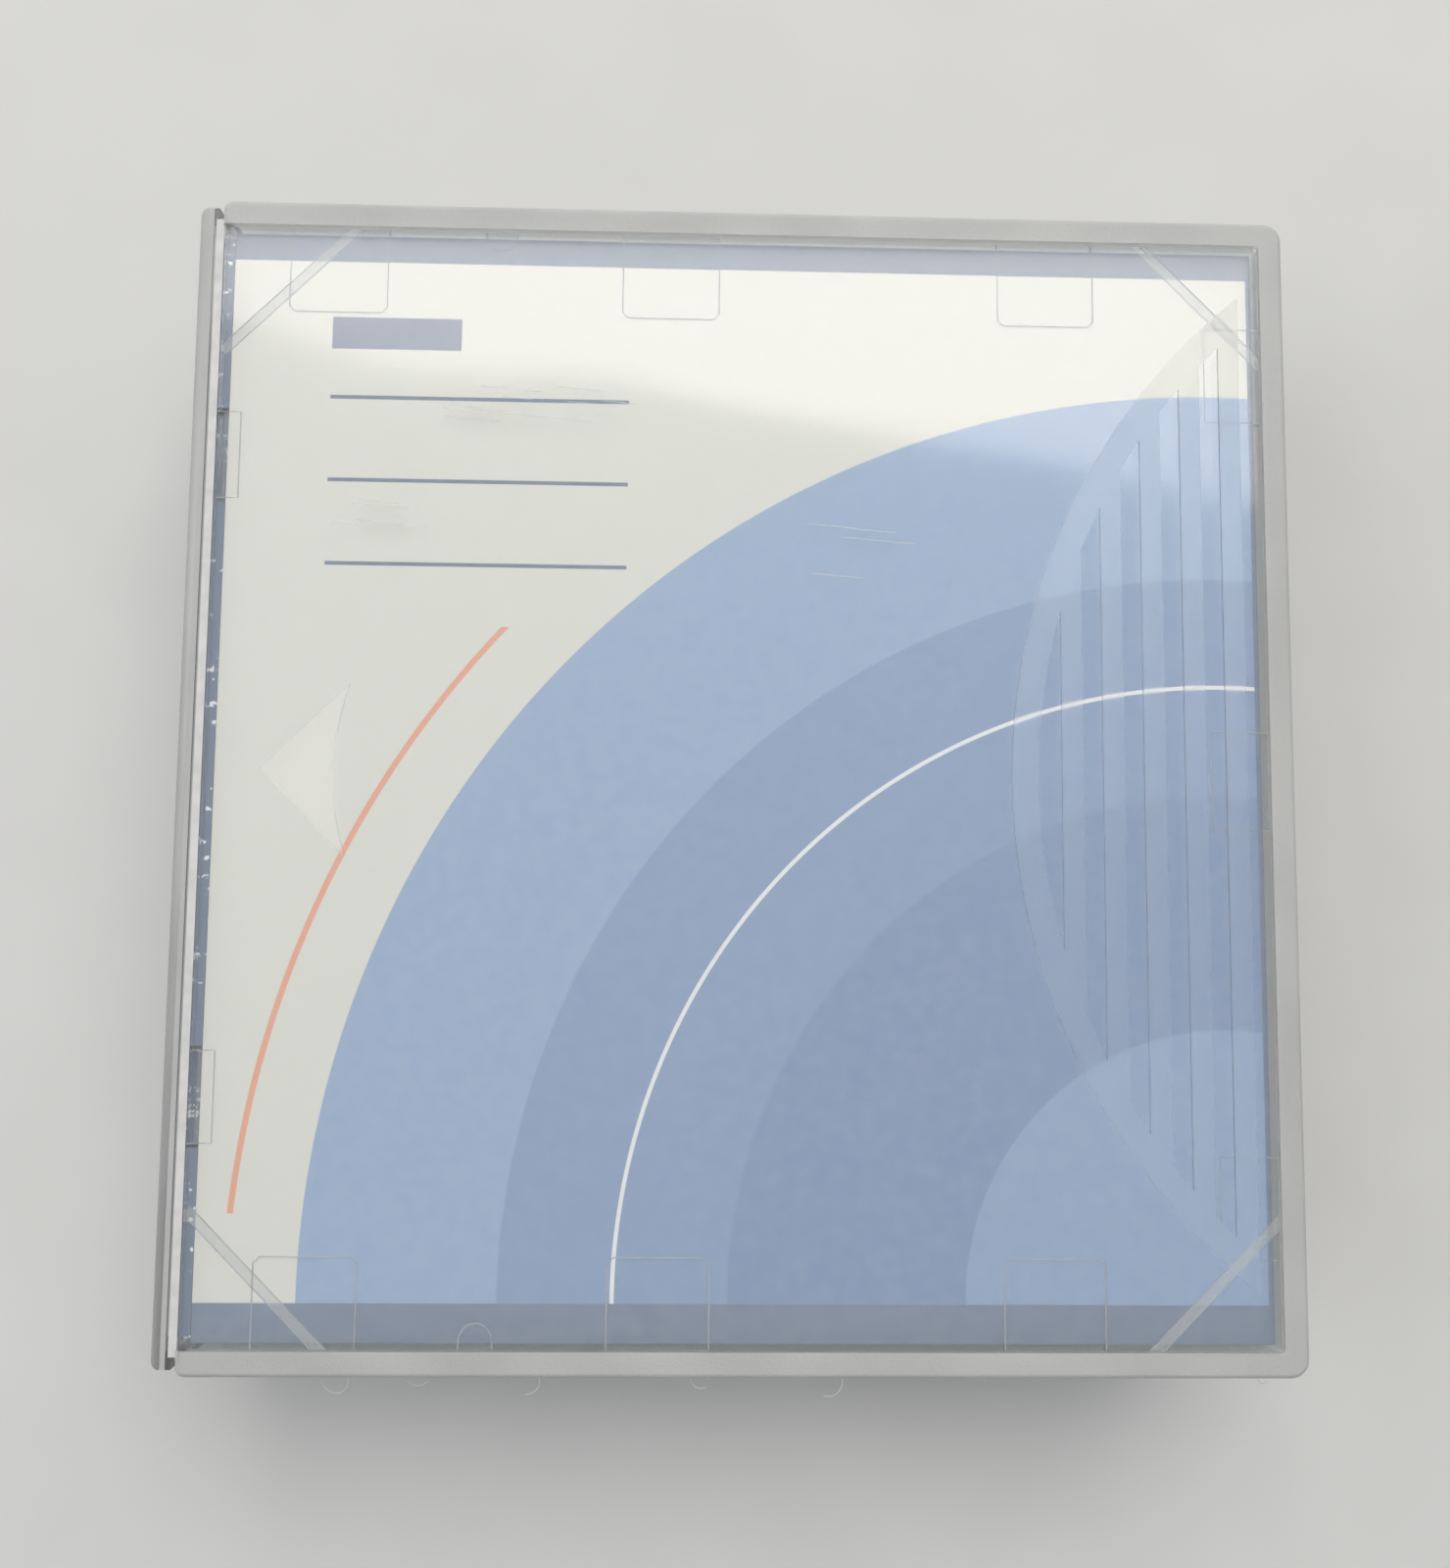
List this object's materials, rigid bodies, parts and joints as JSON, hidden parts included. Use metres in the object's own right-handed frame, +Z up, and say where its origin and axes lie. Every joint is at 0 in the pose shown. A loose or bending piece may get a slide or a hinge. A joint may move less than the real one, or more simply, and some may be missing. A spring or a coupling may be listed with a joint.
{
  "type": "half-inch data tape cartridge in a closed, hinged library case",
  "caption": "Flat square data tape cartridge with one reel, lying in a clear hinged library case with a raised frosted rim and a printed insert under the lid.",
  "frame": {"origin": "middle of the closed case's footprint, on the surface that it lies on", "axes": "+X from the film hinges towards the opening side, +Y along the hinges, +Z up out of the lid"},
  "size_m": [0.11, 0.1146, 0.027],
  "materials": {
    "case_plastic": "clear, slightly milky polypropylene, glossy panels with a fine textured rim",
    "card": "coated white paper printed in pale blues, satin",
    "shell_plastic": "fine-textured dark slate polycarbonate",
    "white_plastic": "smooth white acetal",
    "clear_plastic": "translucent polycarbonate",
    "tape": "dark metal-particle tape",
    "steel": "bright stainless steel",
    "slider_plastic": "smooth red acetal",
    "chip_plastic": "black moulding compound"
  },
  "bodies": {
    "base": {"case_base": "case_plastic", "cartridge_lower_shell": "shell_plastic", "cartridge_upper_shell": "shell_plastic", "leader_pin": "steel", "lower_pin_clip": "steel", "upper_pin_clip": "steel", "tape_clip": "white_plastic", "leader_tape": "tape", "door_spring": "steel", "brake_spring": "steel", "memory_chip": "chip_plastic", "shell_screws": "steel"},
    "spine": {"case_spine": "case_plastic", "insert_spine": "card"},
    "lid": {"case_lid": "case_plastic", "insert_front": "card"},
    "door": {"access_door": "shell_plastic"},
    "reel": {"reel_hub": "white_plastic", "reel_upper_flange": "clear_plastic", "clutch_plate": "steel", "tape_pack": "tape"},
    "brake": {"brake_button": "white_plastic"},
    "release": {"brake_release_pad": "white_plastic"},
    "write_protect": {"write_protect_slider": "slider_plastic"}
  },
  "joints": [
    {"name": "spine_hinge", "type": "hinge", "parent": "base", "child": "spine", "pos_m": [-0.0526, 0, 0.00095], "axis": [0, -1, 0], "range_deg": [0, 90]},
    {"name": "lid_hinge", "type": "hinge", "parent": "spine", "child": "lid", "pos_m": [-0.0526, 0, 0.02605], "axis": [0, -1, 0], "range_deg": [0, 90]},
    {"name": "door_slide", "type": "slide", "parent": "base", "child": "door", "axis": [1, 0, 0], "range_m": [0, 0.019], "stiffness_N_per_m": 15, "springref_m": -0.012, "deforming": ["door_spring"]},
    {"name": "write_protect_slide", "type": "slide", "parent": "base", "child": "write_protect", "axis": [0, 1, 0], "range_m": [0, 0.004]},
    {"name": "reel_spin", "type": "hinge", "parent": "base", "child": "reel", "pos_m": [0.0005, 0, 0.0053], "axis": [0, 0, 1], "continuous": true},
    {"name": "brake_lift", "type": "slide", "parent": "base", "child": "brake", "axis": [0, 0, 1], "range_m": [0, 0.0018], "stiffness_N_per_m": 600, "springref_m": -0.008, "deforming": ["brake_spring"]},
    {"name": "pad_lift", "type": "slide", "parent": "reel", "child": "release", "axis": [0, 0, 1], "range_m": [0, 0.0018]}
  ],
  "couplings": [
    {"joint": "pad_lift", "follows": "brake_lift", "ratio": 1}
  ]
}
